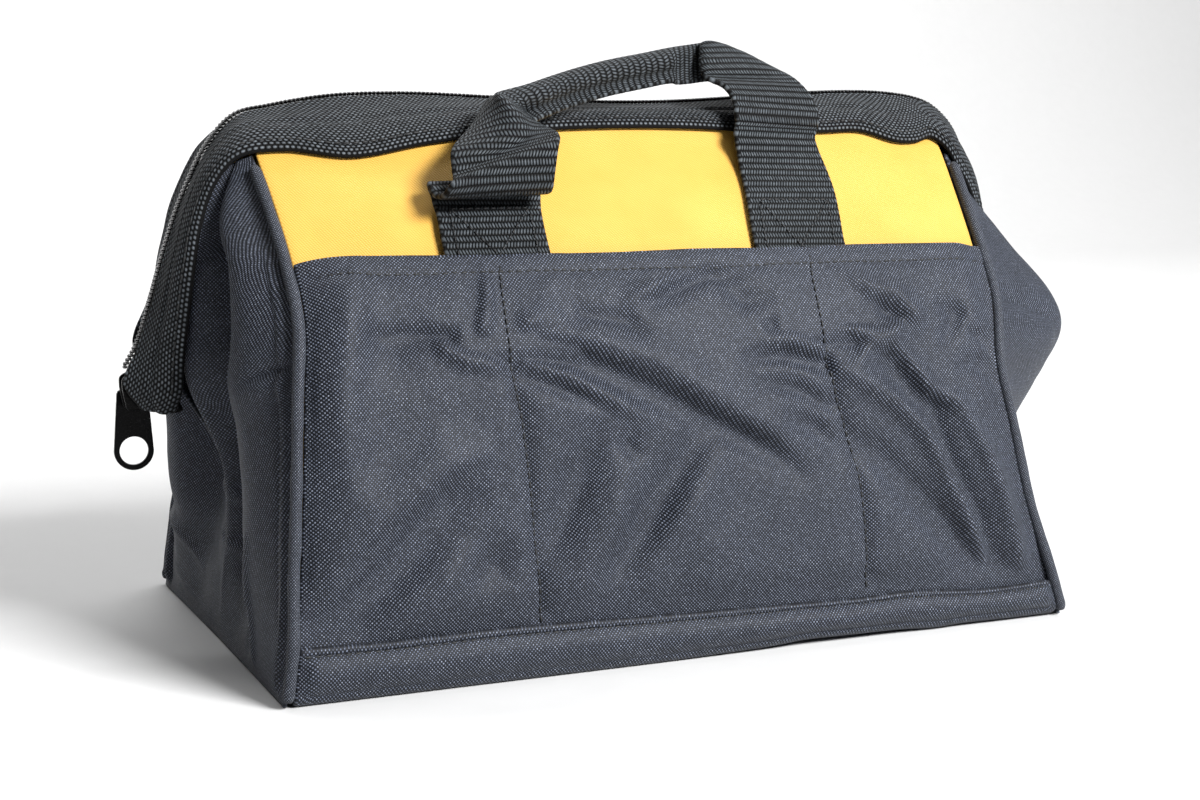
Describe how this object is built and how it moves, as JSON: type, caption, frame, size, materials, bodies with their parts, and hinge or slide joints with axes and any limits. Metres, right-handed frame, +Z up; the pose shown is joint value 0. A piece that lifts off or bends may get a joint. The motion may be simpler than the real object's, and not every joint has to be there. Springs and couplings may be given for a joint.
{
  "type": "tool bag",
  "caption": "Small wide-mouth tool bag of woven cloth with leaning sides, outer pockets, a zip over the top and down both ends, and webbing carrying handles.",
  "frame": {"origin": "middle of the flat base, on the surface that the bag stands on", "axes": "+Z up, +X along the bag's length to the right as its front is faced, -Y out of the front pocket"},
  "size_m": [0.3705, 0.1929, 0.2181],
  "materials": {
    "charcoal_cloth": "woven polyester, matt with a slight sheen",
    "yellow_cloth": "fine woven polyester, matt",
    "charcoal_piping": "woven cloth over a cord, matt",
    "black_tape": "coarse woven tape, matt",
    "black_webbing": "ribbed woven webbing, matt",
    "black_coil": "glossy coil",
    "black_metal": "smooth black paint"
  },
  "bodies": {
    "bag": {"base_panel": "charcoal_cloth", "front_panel": "yellow_cloth", "back_panel": "yellow_cloth", "front_pocket": "charcoal_cloth", "back_pocket": "charcoal_cloth", "left_end_panel": "charcoal_cloth", "right_end_panel": "charcoal_cloth", "piping_front_left": "charcoal_piping", "piping_front_right": "charcoal_piping", "piping_back_left": "charcoal_piping", "piping_back_right": "charcoal_piping", "front_zip_band": "black_tape", "back_zip_band": "black_tape", "zip_chain": "black_coil", "zip_slider": "black_metal", "front_handle": "black_webbing", "back_handle": "black_webbing"},
    "pull_tab": {"zip_pull_tab": "black_metal"}
  },
  "joints": [
    {"name": "pull_tab_hinge", "type": "hinge", "parent": "bag", "child": "pull_tab", "pos_m": [-0.179, 0.0088, 0.091], "axis": [1, 0, 0], "range_deg": [0, 150]}
  ]
}
